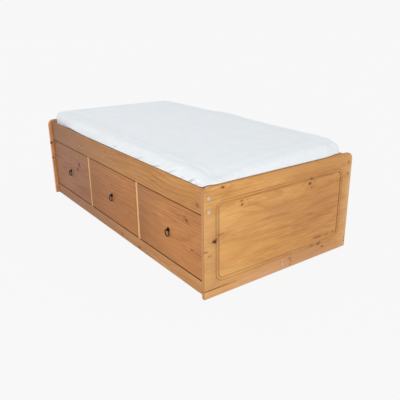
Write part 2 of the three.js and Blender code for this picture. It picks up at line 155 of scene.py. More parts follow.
def pine(name, grain, tones, knots=(), *, boards, seed, seams=0.35, roughness=0.42, washes=()):
    """Planed and waxed pine: glued boards, each with its own growth rings round a pith that lies
    behind its face, fine fibres along the grain, and knots that the rings bend round. It is sawn
    and planed, so it has a soft satin gloss with a faint ribbed feel along the grain.

    grain gives the axes along the grain, across it and through the board, as in "yzx". tones are
    the early wood, the middle, the late wood and the end grain, which drinks more wax. boards is
    the boards' width and where the first seam lies. A knot is (along, across, radius, stretch
    along the grain, darkness), and a wash is (tint, along, across, reach along, reach across, share),
    both in millimetres: a soft patch of another tone, also used for painted light and painted shade.
    Rings and fibres are wider apart than real ones, so that they show in a small picture."""
    material, add = new_material(name)
    width, first = boards
    early, middle, late, end_grain = tones
    place = add("TexCoord", out="Object")
    axes = add("SeparateXYZ", place).node.outputs
    along, across, through = (axes["XYZ".index(letter.upper())] for letter in grain)
    normal = add("SeparateXYZ", place.node.outputs["Normal"]).node.outputs
    facing = normal["XYZ".index(grain[0].upper())]

    # Which board this is, how far across it, and three numbers of its own
    count = add("Math", add("Math", across, first, operation="SUBTRACT"), width, operation="DIVIDE")
    number = add("Math", count, operation="FLOOR")
    within = add("Math", count, operation="FRACT")
    chance = add("TexWhiteNoise", add("Math", number, seed), out="Color", noise_dimensions="1D")
    chances = add("SeparateColor", chance).node.outputs
    shifted = add("Math", chances[0], 7, along, operation="MULTIPLY_ADD")

    # Noises drawn out along the grain
    spot = add("CombineXYZ", shifted, across, through)
    noises = {}
    for layer, (often, often_across, detail) in WOOD_NOISES.items():
        scaled = add("VectorMath", spot, (often, often_across, often_across), operation="MULTIPLY")
        noises[layer] = add("TexNoise", scaled, 1, detail, 0.6)

    # The pith lies 30 mm or more behind the board, and up to 150 mm to a side.
    bend = add("SeparateColor", noises["bend"].node.outputs["Color"]).node.outputs
    swing = add("VectorMath", add("CombineXYZ", within, chances[1], bend[0]), (0.5, 0.5, 0.5),
                operation="SUBTRACT")
    sideways = add("VectorMath", swing, (width, 0.44, 0.05), operation="DOT_PRODUCT")
    behind = add("CombineXYZ", chances[2], bend[1], add("Math", through, operation="ABSOLUTE"))
    deep = add("VectorMath", behind, (0.06, 0.04, 1), operation="DOT_PRODUCT")
    deep = add("Math", deep, 10 * MM)
    radius = add("VectorMath", add("CombineXYZ", sideways, deep), operation="LENGTH")

    def steps_from(a, b, reach_along, reach_across):
        """How far each spot lies from (a, b), in millimetres, counted in reaches each way."""
        offset = add("VectorMath", flat, (a * MM, b * MM, 0), operation="SUBTRACT")
        shares = (1 / (reach_along * MM), 1 / (reach_across * MM), 0)
        return add("VectorMath", offset, shares, operation="MULTIPLY")

    # Each knot pushes the rings outwards round itself and darkens its own middle.
    flat = add("CombineXYZ", along, across)
    ragged = add("Math", noises["rag"], 2.4, -1.2, operation="MULTIPLY_ADD")
    nearest, dark, glow = 9, 0, 0
    for a, b, size, stretch, darkness in knots:
        offset = steps_from(a, b, size * stretch, size)
        distance = add("VectorMath", offset, operation="LENGTH")
        wide = add("VectorMath", offset, (0.4, 1, 0), operation="MULTIPLY")
        wide = add("VectorMath", wide, operation="LENGTH")
        push = add("MapRange", wide, 3.2, 0, 0, size * 1.1 * MM, **SMOOTH)
        radius = add("Math", radius, push)
        distance = add("Math", distance, ragged)
        heart = add("MapRange", distance, 1.3, 0.7, 0, darkness, **SMOOTH)
        stain = add("MapRange", distance, 2.6, 0.9, 0, darkness, **SMOOTH)
        dark = add("Math", dark, heart, operation="MAXIMUM")
        glow = add("Math", glow, stain, operation="MAXIMUM")
        nearest = add("Math", nearest, distance, operation="MINIMUM")

    # A ring is pale early wood that darkens slowly to late wood and then stops short.
    turn = add("Math", add("Math", radius, RING_GAP, operation="DIVIDE"), operation="FRACT")
    rise = add("MapRange", turn, 0.35, 0.88, **SMOOTH)
    fall = add("MapRange", turn, 1, 0.94, **SMOOTH)
    ring = add("Math", rise, fall, operation="MULTIPLY")
    layers = add("CombineXYZ", noises["fibre"], noises["streak"], noises["drift"])
    shade = add("VectorMath", layers, (0.42, 0.32, 0.26), operation="DOT_PRODUCT")
    shade = add("Math", ring, 0.07, shade, operation="MULTIPLY_ADD")
    shade = add("Math", chances[2], 0.05, shade, operation="MULTIPLY_ADD")

    # The layers' usual sum, 0.508, becomes the middle tone. The grain is fainter in some places.
    strength = add("MapRange", bend[2], 0.36, 0.64, 0.6, 1.15)
    shade = add("Math", shade, 0.508, operation="SUBTRACT")
    shade = add("Math", shade, strength, 0.5, operation="MULTIPLY_ADD")
    colour = set_stops(add("ValToRGB", shade), [(0.34, early), (0.5, middle), (0.68, late)])

    # Slow patches where the wax has turned the wood pinker
    blush = add("VectorMath", spot, (2.2, 5, 5), operation="MULTIPLY")
    blush = add("MapRange", add("TexNoise", blush, 1, 1), 0.48, 0.75, 0, 0.2)
    colour = add("Mix", blush, colour, hue(end_grain), data_type="RGBA")

    # A thin line of shade at each glued seam
    edge = add("Math", within, add("Math", 1, within, operation="SUBTRACT"), operation="MINIMUM")
    seam = add("MapRange", edge, 1.1 * MM / width, 0.1 * MM / width, 0, seams)
    colour = add("Mix", seam, colour, hue(SEAM_LINE), data_type="RGBA")

    # Patches of another tone and of painted light and shade, then the end grain
    for tint, a, b, reach_along, reach_across, most in washes:
        offset = steps_from(a, b, reach_along, reach_across)
        distance = add("VectorMath", offset, operation="LENGTH")
        share = add("MapRange", distance, 1, 0, 0, most, **SMOOTH)
        colour = add("Mix", share, colour, hue(tint), data_type="RGBA")
    end_on = add("Math", facing, operation="ABSOLUTE")
    end_on = add("MapRange", end_on, 0.25, 0.85, 0, 0.8, **SMOOTH)
    colour = add("Mix", end_on, colour, hue(end_grain), data_type="RGBA")
    if knots:
        stained = add("Math", glow, 0.35, operation="MULTIPLY")
        colour = add("Mix", stained, colour, hue(KNOT_STAIN), data_type="RGBA")
        heart = set_stops(add("ValToRGB", nearest), KNOT_HEART)
        colour = add("Mix", dark, colour, heart, data_type="RGBA")

    gloss = add("MapRange", noises["streak"], 0.3, 0.7, roughness - 0.05, roughness + 0.08)
    height = add("Math", ring, 0.7, noises["fibre"], operation="MULTIPLY_ADD")
    surface = {"Roughness": gloss, "Specular IOR Level": 0.3}
    add_shader(add, colour, WAX_AND_SHADE, (height, 0.3, 0.12 * MM), surface)
    return material


# Tones of the waxed end panels, of the darker front boards and of bare wood
HONEY = ("F2B870", "DA9E57", "BC7E40", "B88056")
RAIL = ("D69F5B", "C28645", "A36A2E", "AE7441")
BARE = ("F0D6A6", "E6C58E", "CFA468", "D8B27A")

# The foot panel's knots, with the long dark line near its lower edge as the last
FOOT_KNOTS = (
    (-439, 293, 10, 1.25, 1), (-408, 316, 7, 3, 0.3), (-491, 249, 5, 2, 0.5),
    (-472, 224, 5, 2.4, 0.35), (-394, 547, 4.8, 2.2, 0.8), (-283, 456, 5, 1.6, 0.55),
    (-279, 438, 5.5, 1.4, 0.6), (174, 448, 7.5, 1.4, 0.85), (188, 470, 6, 1.8, 0.5),
    (190, 424, 5, 1.8, 0.38), (192, 273, 3, 8, 0.3), (59, 52, 4.2, 1.5, 0.7),
    (66, 35, 4, 1.3, 0.7), (61, 18, 3.6, 1.3, 0.55), (258, 121, 7.5, 4, 0.42),
    (338, 117, 5, 3, 0.32), (392, 119, 5, 3, 0.4), (225, 79, 4.5, 3.4, 0.55),
    (276, 78, 6.5, 2.2, 0.6), (309, 51, 5, 1.6, 0.75), (-448, 43.5, 2.4, 46, 0.8),
)
# Soft patches on the foot panel: the lighter ones to the left and along the bottom are painted light, the
# darker ones in the middle and to the right are painted shade, and the pale band at the right edge is a
# lighter board.
FOOT_LIGHT_AND_TONE = (
    ("F0C08C", 560, 260, 140, 1000, 1), ("EEC286", -470, 260, 100, 600, 0.22),
    ("E6B488", 20, 0, 800, 120, 0.75), ("B4703A", 270, 300, 260, 260, 0.45),
    ("A8683A", 260, 530, 500, 160, 0.32), ("A8683A", 20, 350, 200, 90, 0.3),
    ("A8683A", 200, 30, 500, 60, 0.25), ("F2BE74", -330, 100, 300, 80, 0.5),
    ("F2BE74", -380, 400, 160, 70, 0.35), ("F2BE74", -400, 210, 160, 70, 0.3),
)
panel_foot = pine("waxed_pine_foot_panel", "yzx", HONEY, FOOT_KNOTS, boards=(0.112, 0.157), seams=0.12,
                  seed=3, washes=FOOT_LIGHT_AND_TONE)
panel_head = pine("waxed_pine_head_panel", "yzx", ("F2B67A", "DC9E66", "BC7E4A", "E6AC8A"), (
    (-500, 392, 7, 1, 1), (-500, 277, 5, 1.4, 0.9), (210, 230, 9, 1.3, 0.9),
    (-460, 520, 6, 1, 0.9), (-380, 500, 5, 1.4, 0.8), (-160, 120, 7, 1.2, 0.8),
    (390, 440, 6, 1.4, 0.7), (-380, 320, 5, 1, 0.9),
), boards=(0.108, 0.06), seams=0.15, seed=11)
# The rail darkens towards the head with a wash: painted shade, as the light falls off along the bed.
rail_wood = pine("waxed_pine_rail", "xzy", RAIL, (
    (906, 458, 9, 1.8, 0.4), (909, 458, 3, 1.8, 0.5), (-410, 475, 5.5, 1.5, 0.55),
    (-218, 524, 5, 1.5, 0.45), (-54, 507, 5.5, 1.6, 0.45), (48, 536, 4.5, 2, 0.45),
), boards=(0.3, 0.4), seed=21, washes=[("8A5C3C", -1250, 480, 2000, 9000, 0.95)])
# The plinth, too, darkens towards the head with a wash: painted shade.
plinth_wood = pine("waxed_pine_plinth", "xzy", ("D8A468", "C48D52", "A6703A", "B0784C"), (
    (322, 21, 7, 1.8, 0.75), (104, 25, 5.5, 2, 0.6), (-560, 45, 5, 1.5, 0.4),
), boards=(0.3, -0.05), seed=32, washes=[("96664C", -1250, 40, 2300, 9000, 0.9)])
back_wood = pine("waxed_pine_back_rails", "xzy", HONEY, (
    (610, 480, 8, 1.4, 0.8), (-330, 450, 6, 1.4, 0.7), (-700, 40, 6, 1.4, 0.7),
), boards=(0.4, -0.1), seed=37)
upright_wood = pine("waxed_pine_dividers", "zyx", ("F0C68E", "E2AE70", "CB9152", "B47C4E"),
                    boards=(0.1, -0.6), seed=41)
front_pine = partial(pine, grain="xzy", boards=(0.115, 0.088), seams=0.15)
# Drawer 1, at the head, has the darkest tones, and washes darken drawers 2 and 3 towards the head: painted
# shade, as the light falls off along the bed.
front_woods = {
    1: front_pine("waxed_pine_drawer_1", tones=("B27C54", "9E6840", "84522E", "865434"), knots=(
        (-490, 328, 12, 1.3, 1), (-478, 314, 8.5, 1.2, 0.9), (-519, 287, 11.5, 1.3, 1),
    ), seed=51),
    2: front_pine("waxed_pine_drawer_2", tones=("CA894D", "B5753A", "9A5C29", "9C6336"), knots=(
        (-58, 355, 6, 1.8, 0.4), (-42, 302, 4.5, 1.6, 0.4), (9, 313, 5, 1.8, 0.6),
        (-220, 190, 5, 2, 0.3), (106, 228, 5, 1.8, 0.35),
    ), seed=63, washes=[("8E5A30", -450, 240, 750, 9000, 0.65)]),
    3: front_pine("waxed_pine_drawer_3", tones=("CC9053", "BD7C41", "A2642F", "A56D3B"), knots=(
        (815, 352, 6.5, 1.5, 0.8), (800, 368, 6, 1.8, 0.35), (860, 212.5, 3.5, 4, 0.75),
        (906, 208, 2.8, 12, 0.45),
    ), seed=77, washes=[("8E5A30", 300, 240, 350, 9000, 0.6)]),
}
box_wood = pine("planed_pine_drawer_boxes", "yzx", BARE, boards=(0.12, 0), roughness=0.6, seed=83)
slat_wood = pine("planed_pine_slats", "yxz", BARE, boards=(0.1, 0), seams=0, roughness=0.65, seed=91)
batten_wood = pine("planed_pine_battens", "xzy", BARE, boards=(0.2, 0), seams=0, roughness=0.65,
                   seed=97)


# Iron, zinc and cloth

def metal(name, tone, worn, metallic, roughness, speckle=1.5 * MM):
    """A metal whose tone and roughness wander with a grain of the given size in metres."""
    material, add = new_material(name)
    grain = add("TexNoise", add("TexCoord", out="Object"), 1 / speckle, 3.0)
    colour = set_stops(add("ValToRGB", grain), [(0.35, tone), (0.7, worn)])
    rough = add("MapRange", grain, 0.3, 0.7, roughness - 0.08, roughness + 0.1)
    surface = {"Roughness": rough, "Metallic": metallic}
    # Sockets and the feet of bolt heads turn towards this dark brown: painted shade.
    add_shader(add, colour, "2A2018", (grain, 0.35, 0.1 * MM), surface)
    return material


# Blackened iron: nearly black, with a dull gleam on its high spots
black_iron = metal("blackened_iron", "15110F", "2B2421", metallic=0.75, roughness=0.42, speckle=2.5 * MM)
# Bright zinc plate: pale and a little warm, with a soft blurred mirror
zinc_plate = metal("bright_zinc_plate", "EBE2D0", "F4EDE0", metallic=1.0, roughness=0.36)
# Zinc plate under old wax: a brown point with a dull shine
waxed_zinc = metal("waxed_zinc_plate", "BE8E56", "CC9C60", metallic=0.2, roughness=0.55)
# Small steel screws gone brown: dark points with hardly any shine
dark_screw = metal("browned_steel", "4A3423", "6E5236", metallic=0.8, roughness=0.45)


def cotton(name, tone, shade, thread, roughness):
    """Plain woven cotton with a soft sheen where the cloth turns away. The weave rises and falls as
    sin(x / thread) + sin(y / thread), which is coarser than real threads, so that it can show."""
    material, add = new_material(name)
    place = add("TexCoord", out="Object")
    # A wave texture at scale 1 turns through 20 radians in a metre.
    scale = 1 / (thread * 20)
    ways = [add("TexWave", place, scale, 0.6, out="Fac", bands_direction=way) for way in "XY"]
    woven = add("Math", *ways)
    slub = add("TexNoise", place, 14.0, 3.0)
    colour = set_stops(add("ValToRGB", slub), [(0.35, shade), (0.65, tone)])
    surface = {"Roughness": roughness, "Sheen Weight": 0.15, "Sheen Roughness": 0.5}
    # The sheet's folds turn towards this grey: painted shade.
    add_shader(add, colour, "9A9498", (woven, 0.12, 0.15 * MM), surface)
    return material


# White percale: a matt, faintly bluish white
white_cotton = cotton("white_percale", "F2F5F5", "EFF2F2", thread=1.2 * MM, roughness=0.85)
# Cream ticking: the mattress's own cover, seen only from below
ticking = cotton("cream_ticking", "E9E4D8", "DDD6C6", thread=1.6 * MM, roughness=0.9)


# Meshes

def new_object(name, data):
    """A new object in the scene."""
    thing = bpy.data.objects.new(name, data)
    scene.collection.objects.link(thing)
    return thing


def set_shade_and_grime(mesh, shade_and_grime):
    """Marks how dark each point is, from 0 to 1: wax in hollows, darker rims and painted shade."""
    marks = mesh.attributes.new("shade_and_grime", "FLOAT", "POINT")
    marks.data.foreach_set("value", np.asarray(shade_and_grime, np.float32))


def add_piece(name, points, faces, material, body, slot, stands_for=(), shade_and_grime=None):
    """Makes a smooth mesh piece that rides on a body, in the place of the nodes it stands for."""
    mesh = bpy.data.meshes.new(name)
    mesh.from_pydata(np.asarray(points, float).tolist(), [], [list(map(int, face)) for face in faces])
    mesh.polygons.foreach_set("use_smooth", np.full(len(mesh.polygons), True))
    if shade_and_grime is not None:
        set_shade_and_grime(mesh, shade_and_grime)
    mesh.materials.append(material)
    mesh.update()
    piece = new_object(name, mesh)
    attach(piece, body)
    if stands_for:
        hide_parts(*stands_for)
    return piece


def add_board(node, points, faces, material, body, slot, shade_and_grime):
    """A finer board in the place of a CAD node. The normals of its rounded edges lean on its large
    flat faces."""
    piece = add_piece(node + "_board", points, faces, material, body, slot, [node], shade_and_grime)
    leaning = piece.modifiers.new("flat_faces", "WEIGHTED_NORMAL")
    leaning.mode = "FACE_AREA"
    leaning.weight = 100


def grid_faces(rows, columns, rows_close=False):
    """Quads of a grid of points whose columns close on themselves, facing outwards when the columns
    run anticlockwise and the rows rise towards the eye."""
    row = np.arange(rows if rows_close else rows - 1)[:, None]
    column = np.arange(columns)
    after_row = (row + 1) % rows
    after_column = (column + 1) % columns
    quads = [row * columns + column, row * columns + after_column,
             after_row * columns + after_column, after_row * columns + column]
    return np.stack(quads, -1).reshape(-1, 4)


def full_turn(count):
    """Angles evenly round a circle."""
    return np.arange(count) * 2 * np.pi / count


def closed_shell(rings):
    """Points and faces of a closed shell: rings of points from one end to the other, each end
    closed by a fan about the middle of its last ring."""
    rings = np.asarray(rings, float)
    count, columns = rings.shape[:2]
    points = np.concatenate([*rings, rings[[0, -1]].mean(1)])
    sides = grid_faces(count, columns)
    column = np.arange(columns)
    after = (column + 1) % columns
    first = np.stack([after, column, np.full(columns, count * columns)], -1)
    last = np.stack([column, after, np.full(columns, count * columns + 1)], -1)
    last[:, :2] += (count - 1) * columns
    return points, [*sides, *first, *last]


def closed_ring(grid):
    """Points and faces of a grid of points that closes on itself both ways."""
    rows, columns = grid.shape[:2]
    return grid.reshape(-1, 3), grid_faces(rows, columns, True)[:, ::-1]


def quarter_turns(steps):
    """Four quarter circles, anticlockwise from the right: for each point the number of its corner,
    the corner's side and the direction outwards."""
    corner = np.repeat(np.arange(4), steps + 1)
    angle = (corner + np.tile(np.linspace(0, 1, steps + 1), 4)) * np.pi / 2
    side = np.array([[1, 1], [-1, 1], [-1, -1], [1, -1]])[corner]
    return corner, side, np.stack([np.cos(angle), np.sin(angle)], -1)


def rounded_outline(half_width, half_height, radius, steps):
    """A rounded rectangle, anticlockwise: four quarter circles joined by straight sides."""
    _, side, outward = quarter_turns(steps)
    return side * (np.array([half_width, half_height]) - radius) + radius * outward


def board(low, high, radius, grain):
    """A board whose edges are all rounded like a pencil: a rounded rectangle carried along the
    grain. At both ends it is drawn in by radius (1 - sin t) at radius (1 - cos t) from the end."""
    low, high = np.array(low), np.array(high)
    steps = 5
    run = "xyz".index(grain)
    sides = [(run + 1) % 3, (run + 2) % 3]
    middle = (low + high) / 2
    half = (high - low) / 2
    turn = np.linspace(0, np.pi / 2, steps + 1)
    inset = radius * (1 - np.sin(turn))
    back = radius * (1 - np.cos(turn))
    inset = np.concatenate([inset, inset[::-1]])
    at = np.concatenate([-half[run] + back, half[run] - back[::-1]])
    outline = rounded_outline(half[sides[0]], half[sides[1]], radius, steps)
    corner = rounded_outline(half[sides[0]] - radius, half[sides[1]] - radius, 0.0, steps)
    # The outline's corners shrink with it, to a twentieth at the very end.
    share = (1 - 0.95 * inset / radius)[:, None, None]
    rings = np.zeros((len(at), len(outline), 3))
    rings[..., sides] = middle[sides] + corner + (outline - corner) * share
    rings[..., run] = (middle[run] + at)[:, None]
    return closed_shell(rings)


def cad_board(node, radius, grain, material, slot, body=BEDSTEAD, gaps=(), shade_and_dirt=(0.65, 2 * MM)):
    """A rounded board in the place of a CAD node. gaps names the sides that face a narrow gap, such as
    "top", whose edges get painted shade, the gap's shadow. The last argument gives how much darker they are,
    and how far round the edge the shade reaches."""
    low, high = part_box(node)
    points, faces = board(low, high, radius, grain)
    sides = {"head": (0, low.x), "foot": (0, high.x), "bottom": (2, low.z), "top": (2, high.z)}
    most, reach = shade_and_dirt
    shade_and_grime = np.zeros(len(points))
    # Painted shade along the edges that face a gap
    for axis, place in (sides[name] for name in gaps):
        away = np.abs(points[:, axis] - place)
        shade_and_grime = np.maximum(shade_and_grime, most * np.clip(1 - away / reach, 0, 1))
    add_board(node, points, faces, material, body, slot, shade_and_grime)


# End panels

PANEL_FACE = 0.98
PANEL_EDGE = 5 * MM
PANEL_CORNER = 40 * MM
PANEL_LOWER_CORNER = 6 * MM
PANEL_STEPS = 10
# The routed frame's distances from the panel's sides, top and bottom, and its corners' radius
FRAME_SIDE, FRAME_TOP, FRAME_BOTTOM, FRAME_CORNER = 69 * MM, 74 * MM, 72 * MM, 46 * MM
# The widths of its outer cove, its bead and its inner cove, in millimetres
OUTER, BEAD, INNER = 7, 5, 11
# Painted shade on the moulding's walls that face this way, sideways and up, away from the light
SHADED_WAY = np.array([0.85, 0.52])


def panel_outline(half_width, height, inset):
    """An end panel's outline drawn in by inset: round corners at the top and tight ones below,
    anticlockwise from the right of the top right corner. A corner's radius shrinks with the inset."""
    corner, side, outward = quarter_turns(PANEL_STEPS)
    radii = np.array([PANEL_CORNER, PANEL_CORNER, PANEL_LOWER_CORNER, PANEL_LOWER_CORNER])
    radius = radii[corner][:, None]
    centre = side * (np.array([half_width, height / 2]) - radius)
    return centre + np.maximum(radius - inset, 0) * outward + np.array([0, height / 2])


def groove_profile():
    """The routed moulding from its outer lip inwards, as (distance from the outer line, depth,
    hollow, lean), in metres. A cove's depth is the 0.8th power of a half sine, and the bead rises
    by another half sine. hollow is 1 in the middle of a cove, and lean goes from -1, a wall that
    faces inwards, to 1, one that faces out."""
    share = np.linspace(0, 1, 9)
    half_sine = np.sin(np.pi * share)
    hollow = half_sine ** 0.8
    lean = -np.cos(np.pi * share)
    outer = np.stack([OUTER * share, 2.8 * hollow, hollow, lean], -1)
    bead = np.stack([OUTER + BEAD * share, 0.9 * (1 - half_sine), 0 * share, 0 * share], -1)
    inner = np.stack([OUTER + BEAD + INNER * share, 3.4 * hollow, hollow, lean], -1)
    field = [[OUTER + BEAD + INNER + 0.8, 0, 0, 0]]
    return np.concatenate([outer[:-1], bead, inner[1:], field]) * [MM, MM, 1, 1]


def end_panel(node, side, material):
    """A panel as rings of one outline: the inner face, the rounded rim, the outer face, then the
    routed moulding down to the field in the middle."""
    low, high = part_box(node)
    half_width = (high.y - low.y) / 2
    height = high.z - low.z
    front = (high.x - low.x) / 2
    rings, shade_and_grime = [], []

    def add(outline, out, mark):
        ring = np.zeros((len(outline), 3))
        ring[:, 0] = (low.x + high.x) / 2 + side * out
        ring[:, 1] = outline[:, 0] * side
        ring[:, 2] = outline[:, 1]
        rings.append(ring)
        shade_and_grime.append(np.broadcast_to(mark, len(outline)))

    turn = np.linspace(0, np.pi / 2, 7)
    rim = [(-1, t) for t in turn] + [(1, t) for t in turn[::-1]]
    for face, t in rim:
        inset = PANEL_EDGE * (1 - np.sin(t))
        out = face * (front - PANEL_EDGE * (1 - np.cos(t)))
        add(panel_outline(half_width, height, inset), out, 0.30 * np.sin(2 * t) ** 2)
    frame_half = half_width - FRAME_SIDE
    top, bottom = height - FRAME_TOP, FRAME_BOTTOM
    _, _, outward = quarter_turns(PANEL_STEPS)
    facing, upright = outward @ SHADED_WAY, outward[:, 0]
    for inward, depth, hollow, lean in groove_profile():
        outline = rounded_outline(frame_half - inward, (top - bottom) / 2 - inward, FRAME_CORNER - inward,
                                  PANEL_STEPS)
        # The upright runs cross the grain and take more wax. Painted shade darkens the inner cove more at
        # one side and the outer cove at the other, as the light falls from one side.
        burn, leaning = (0.30, 0.14) if inward > (OUTER + BEAD) * MM else (0.15, -0.22)
        end_grain_and_shade = burn * np.abs(upright) + leaning * upright
        mark = hollow * (0.16 + end_grain_and_shade)
        # Painted shade on the walls that face away from the light
        mark = mark + 0.5 * np.clip(lean * facing, 0, 1) * (0.4 + 0.6 * hollow)
        add(outline + np.array([0, (top + bottom) / 2]), front - depth, mark)
    add_board(node, *closed_shell(rings), material, BEDSTEAD, "waxed_pine", np.concatenate([*shade_and_grime, [0, 0]]))


end_panel("head_panel", ENDS["head"], panel_head)
end_panel("foot_panel", ENDS["foot"], panel_foot)


# Rails, dividers and drawer fronts

cad_board("front_top_rail", 4 * MM, "x", rail_wood, "rail_pine", gaps=["bottom"])
cad_board("back_top_rail", 4 * MM, "x", back_wood, "waxed_pine")
cad_board("front_plinth", 4 * MM, "x", plinth_wood, "rail_pine", gaps=["top"], shade_and_dirt=(1.0, 4 * MM))
cad_board("back_bottom_rail", 4 * MM, "x", back_wood, "waxed_pine")
cad_board("centre_bottom_rail", 4 * MM, "x", batten_wood, "bare_pine")
for number in (1, 2):
    cad_board(f"divider_{number}", 2.5 * MM, "z", upright_wood, "waxed_pine")
for number in DRAWERS:
    cad_board(f"drawer_{number}_front", 3 * MM, "x", front_woods[number], "rail_pine", f"drawer_{number}",
              gaps=["top", "bottom", "head", "foot"])

# Nodes that keep their CAD shape, by words in their names, of which the first that fits counts
plain_nodes = {
    "slat_bearer": batten_wood, "slat_": slat_wood, "runner_": box_wood, "side": box_wood,
    "back": box_wood, "bottom": box_wood,
}
for node, thing in nodes.items():
    for words, material in plain_nodes.items():
        if words in node and not thing.hide_render:
            thing.data.materials.clear()
            thing.data.materials.append(material)
            break


# Ring pulls

def turned(profile, columns):
    """Rings of a turned shape about +Z from (radius, height) pairs."""
    angle = full_turn(columns)
    profile = np.array(profile)
    across = profile[:, :1] * np.cos(angle)
    along = profile[:, :1] * np.sin(angle)
    return np.stack([across, along, np.broadcast_to(profile[:, 1:], across.shape)], -1)


def facing_front(points, x, y, z):
    """Turns a shape made about +Z to look along -Y, and moves its foot to a place."""
    return np.stack([points[:, 0] + x, y - points[:, 2], points[:, 1] + z], -1)


def ring_tube(radius, wire, columns, sides, swell):
    """A closed ring of wire in the XZ plane, hung from its top: the wire is thicker by swell at
    the bottom."""
    angle = full_turn(columns)
    about = full_turn(sides)
    thick = wire * (1 + swell * (1 - np.cos(angle)) / 2)[:, None]
    out = radius + thick * np.cos(about)
    x = out * np.sin(angle)[:, None]
    z = out * np.cos(angle)[:, None]
    return np.stack([x, thick * np.sin(about), z], -1)


ROSE_RADIUS = 12.5 * MM
# How far the eye's hole stands off the drawer, and its metal's middle radius and half its section
EYE_OUT, EYE_RADIUS, EYE_WIRE, EYE_WIDE = 9.5 * MM, 4.75 * MM, 1.25 * MM, 3.6 * MM
RING_RADIUS, RING_WIRE, RING_SWELL = 17.8 * MM, 2.5 * MM, 0.10


def ring_pull(number):
    """A domed rose with its screw eye, and the ring that hangs in the eye."""
    body = f"drawer_{number}"
    eye_low, eye_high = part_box(body + "_screw_eye")
    ring_low, ring_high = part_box(body + "_pull_ring")
    x = (eye_low.x + eye_high.x) / 2
    z = (eye_low.z + eye_high.z) / 2
    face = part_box(body + "_front")[0].y
    dome = np.linspace(0, 1, 9)
    rose = [(ROSE_RADIUS * 0.9, 0.3 * MM), (ROSE_RADIUS, 0.5 * MM), (ROSE_RADIUS, 1.3 * MM)]
    rose += [(ROSE_RADIUS * (1 - 0.62 * t), (1.5 + 1.6 * np.sin(t * np.pi / 2)) * MM) for t in dome]
    rose += [(4.2 * MM, 3.3 * MM), (3.5 * MM, 4.0 * MM), (3.3 * MM, 5.4 * MM)]
    points, faces = closed_shell(turned(rose, columns=40))
    add_piece(f"pull_rose_{number}", facing_front(points, x, face, z), faces, black_iron, body,
              "black_iron", [body + "_screw_eye"])
    # The eye is a ring of metal about X: a thick section carried round the hole.
    about, along = full_turn(16), full_turn(32)
    reach = EYE_RADIUS + EYE_WIRE * np.cos(about)
    wide = EYE_WIDE * np.sin(about)
    eye = np.stack([
        np.broadcast_to(wide, (len(along), len(about))) + x,
        face - EYE_OUT + np.cos(along)[:, None] * reach,
        z + np.sin(along)[:, None] * reach,
    ], -1)
    add_piece(f"pull_eye_{number}", *closed_ring(eye), black_iron, body, "black_iron")
    ring = ring_tube(RING_RADIUS, RING_WIRE, columns=64, sides=14, swell=RING_SWELL)
    ring = ring + np.array([x, (ring_low.y + ring_high.y) / 2, (ring_low.z + ring_high.z) / 2])
    add_piece(f"pull_ring_{number}", *closed_ring(ring), black_iron, f"pull_{number}", "black_iron",
              [body + "_pull_ring"])


for number in DRAWERS:
    ring_pull(number)


# Bolts and screws

def socket_head(radius, height, chamfer, socket, depth, columns):
    """A flat round bolt head with a hexagon socket: its points, its faces and the painted shade on each
    point, deep in the socket and at its foot. The socket's reach at angle t is the flat's distance over cos
    of t within each sixth."""
    angle = full_turn(columns)
    sixth = (angle + np.pi / 6) % (np.pi / 3) - np.pi / 6
    hexagon = socket / np.cos(sixth)
    circle = np.full(columns, radius)
    bevel = 0.25 * MM
    # Each ring's reach, height and painted shade
    levels = [
        (circle, 0.0, 0.6),
        (circle, height - chamfer, 0.0),
        (circle - chamfer * 0.3, height - chamfer * 0.3, 0.0),
        (circle - chamfer, height, 0.0),
        (hexagon + bevel, height, 0.1),
        (hexagon, height - bevel, 0.4),
        (hexagon, height - depth, 0.5),
        (hexagon * 0.3, height - depth, 0.5),
    ]
    rings = [np.stack([reach * np.cos(angle), reach * np.sin(angle), np.full(columns, level)], -1)
             for reach, level, _ in levels]
    shade_and_grime = np.repeat([mark for _, _, mark in levels], columns)
    middles = [0.6, 1.0]
    return *closed_shell(rings), np.concatenate([shade_and_grime, middles])


def on_panel(points, side, y, z, lift):
    """Turns a head made about +Z to stand on an end panel's outer face."""
    out = side * (PANEL_FACE + lift + points[:, 2])
    return np.stack([out, y + side * points[:, 0], z + points[:, 1]], -1)


BOLT = socket_head(8.5 * MM, 2.6 * MM, chamfer=0.8 * MM, socket=2.6 * MM, depth=2.0 * MM, columns=48)
SCREW = socket_head(3.8 * MM, 0.5 * MM, chamfer=0.3 * MM, socket=1.2 * MM, depth=0.4 * MM, columns=24)
BOLT_LIFT = 0.3 * MM
SCREW_Y = 0.4925

for end, side in ENDS.items():
    points, faces, shade_and_grime = BOLT
    for place in ("front_upper", "front_lower", "back_upper", "back_lower", "centre"):
        node = f"{end}_bolt_{place}"
        low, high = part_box(node)
        y, z = (low.y + high.y) / 2, (low.z + high.z) / 2
        finish = waxed_zinc if "back" in place else zinc_plate
        add_piece(node + "_head", on_panel(points, side, y, z, BOLT_LIFT), faces, finish, BEDSTEAD,
                  "zinc", [node], shade_and_grime)
    points, faces, shade_and_grime = SCREW
    for height in (57, 36):
        add_piece(f"{end}_screw_{height}", on_panel(points, side, SCREW_Y, height * MM, 0.0), faces,
                  dark_screw, BEDSTEAD, "zinc", shade_and_grime=shade_and_grime)


# Mattress and fitted sheet

LENGTH, WIDTH = 1.900, 0.900
HALF = np.array([LENGTH / 2, WIDTH / 2])
RIM = HALF - 24 * MM
SIDE = HALF + np.array([7.5 * MM, 10 * MM])
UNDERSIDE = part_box("mattress")[0].z
RAIL_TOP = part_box("front_top_rail")[1].z
PANEL_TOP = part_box("foot_panel")[1].z
CURL, LOWER_ROLL = 6 * MM, 20 * MM
# The radii of the block's corners at its rim and down its side
RIM_CORNER, SIDE_CORNER = 26 * MM, 40 * MM
